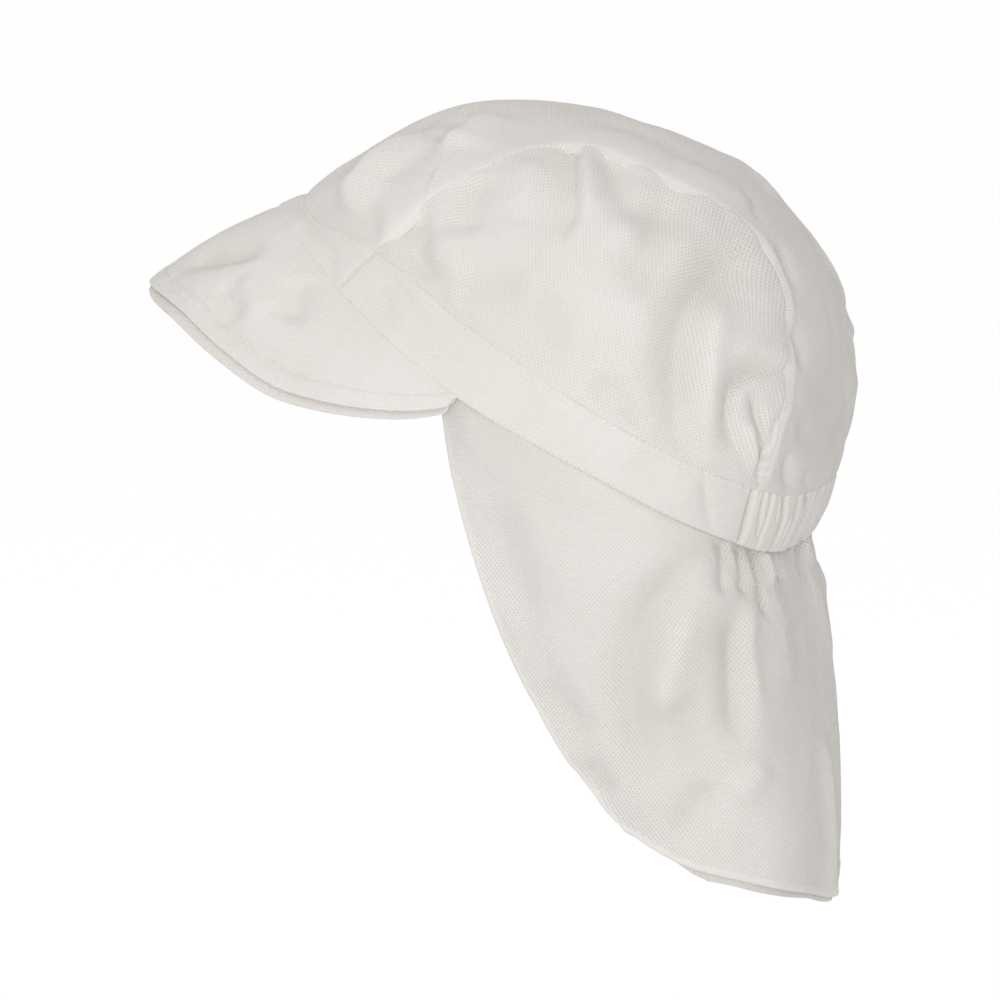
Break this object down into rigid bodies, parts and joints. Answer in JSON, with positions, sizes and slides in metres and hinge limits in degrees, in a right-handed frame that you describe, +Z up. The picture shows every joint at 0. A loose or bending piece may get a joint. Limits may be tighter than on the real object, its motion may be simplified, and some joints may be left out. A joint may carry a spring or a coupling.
{
  "type": "child's sun hat with neck flap",
  "caption": "Soft knit sun hat for a child: rounded crown with a centre strip, banded rim gathered at the back, short soft peak and a long flap over the neck.",
  "frame": {"origin": "middle of the head opening, on the middle plane of the hat, halfway between the front and the back of the rim", "axes": "+Z up as the hat is worn, the peak towards -Y, the wearer's left side towards +X; the rim plane leans 30 degrees, front high"},
  "size_m": [0.153, 0.2119, 0.2322],
  "materials": {
    "mesh_knit": "coarse birdseye mesh, matt off-white",
    "smooth_knit": "fine smooth knit, matt off-white",
    "band_knit": "fine smooth knit, topstitched",
    "gathered_knit": "fine knit pleated over elastic",
    "peak_knit": "fine smooth knit, topstitched edge",
    "under_knit": "rougher knit, a little darker and creamier"
  },
  "bodies": {
    "root": {"crown_left": "mesh_knit", "crown_right": "mesh_knit", "crown_centre": "smooth_knit", "headband": "band_knit", "band_elastic": "gathered_knit", "peak": "peak_knit", "peak_under": "under_knit", "neck_flap": "mesh_knit"}
  },
  "joints": []
}
